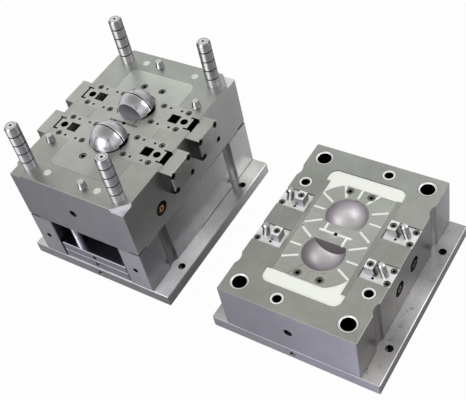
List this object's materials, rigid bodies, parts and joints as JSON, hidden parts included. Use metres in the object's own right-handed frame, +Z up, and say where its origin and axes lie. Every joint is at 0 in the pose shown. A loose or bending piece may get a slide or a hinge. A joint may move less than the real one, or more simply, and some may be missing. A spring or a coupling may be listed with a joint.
{
  "type": "injection mould",
  "caption": "Two-plate injection mould with side slides, opened flat: core half with domes and guide pillars beside the cavity half.",
  "frame": {"origin": "on the floor under the middle of the opened set", "axes": "+Z up, square to both parting faces; +X from the moving half to the fixed half; +Y to the back, along the plates' length"},
  "size_m": [0.575, 0.28, 0.266],
  "materials": {
    "ground_steel": "ground",
    "milled_steel": "milled",
    "polished_steel": "polished",
    "hardened_steel": "fine ground",
    "bright_steel": "bright ground",
    "black_screws": "black oxide",
    "brass": "turned"
  },
  "bodies": {
    "mould_frame": {"bottom_clamp_plate": "ground_steel", "spacer_block_left": "ground_steel", "spacer_block_right": "ground_steel", "core_plate": "ground_steel", "core_insert": "ground_steel", "dome_core_back": "polished_steel", "dome_core_front": "polished_steel", "gib_screws": "black_screws", "gib_dowels": "bright_steel", "stop_block_screws": "black_screws", "interlock_pins": "bright_steel", "core_insert_screws": "black_screws", "core_frame_screws": "black_screws", "core_water_nipples": "brass", "stop_buttons": "milled_steel", "top_clamp_plate": "ground_steel", "cavity_plate": "ground_steel", "cavity_insert": "ground_steel", "sprue_bush": "polished_steel", "locating_ring": "milled_steel", "wedge_screws": "black_screws", "wedge_dowels": "black_screws", "interlock_sockets": "bright_steel", "cavity_insert_screws": "black_screws", "cavity_frame_screws": "black_screws", "cavity_water_nipples": "brass", "gibs_left_back": "hardened_steel", "stop_block_left_back": "hardened_steel", "wedge_block_left_back": "hardened_steel", "angle_pin_left_back": "bright_steel", "guide_pillar_left_back": "bright_steel", "guide_bush_left_back": "bright_steel", "gibs_left_front": "hardened_steel", "stop_block_left_front": "hardened_steel", "wedge_block_left_front": "hardened_steel", "angle_pin_left_front": "bright_steel", "guide_pillar_left_front": "bright_steel", "guide_bush_left_front": "bright_steel", "gibs_right_back": "hardened_steel", "stop_block_right_back": "hardened_steel", "wedge_block_right_back": "hardened_steel", "angle_pin_right_back": "bright_steel", "guide_pillar_right_back": "bright_steel", "guide_bush_right_back": "bright_steel", "gibs_right_front": "hardened_steel", "stop_block_right_front": "hardened_steel", "wedge_block_right_front": "hardened_steel", "angle_pin_right_front": "bright_steel", "guide_pillar_right_front": "bright_steel", "guide_bush_right_front": "bright_steel"},
    "ejector_set": {"ejector_plate": "ground_steel", "ejector_retainer_plate": "ground_steel", "return_pins": "polished_steel", "ejector_pins": "polished_steel", "sprue_puller": "polished_steel", "ejector_plate_screws": "black_screws"},
    "slide_left_back": {"slide_left_back": "hardened_steel"},
    "slide_left_front": {"slide_left_front": "hardened_steel"},
    "slide_right_back": {"slide_right_back": "hardened_steel"},
    "slide_right_front": {"slide_right_front": "hardened_steel"}
  },
  "joints": [
    {"name": "ejector_stroke", "type": "slide", "parent": "mould_frame", "child": "ejector_set", "axis": [0, 0, 1], "range_m": [0, 0.046]},
    {"name": "slide_travel_left_back", "type": "slide", "parent": "mould_frame", "child": "slide_left_back", "axis": [-1, 0, 0], "range_m": [0, 0.00407]},
    {"name": "slide_travel_left_front", "type": "slide", "parent": "mould_frame", "child": "slide_left_front", "axis": [-1, 0, 0], "range_m": [0, 0.00407]},
    {"name": "slide_travel_right_back", "type": "slide", "parent": "mould_frame", "child": "slide_right_back", "axis": [1, 0, 0], "range_m": [0, 0.00407]},
    {"name": "slide_travel_right_front", "type": "slide", "parent": "mould_frame", "child": "slide_right_front", "axis": [1, 0, 0], "range_m": [0, 0.00407]}
  ]
}
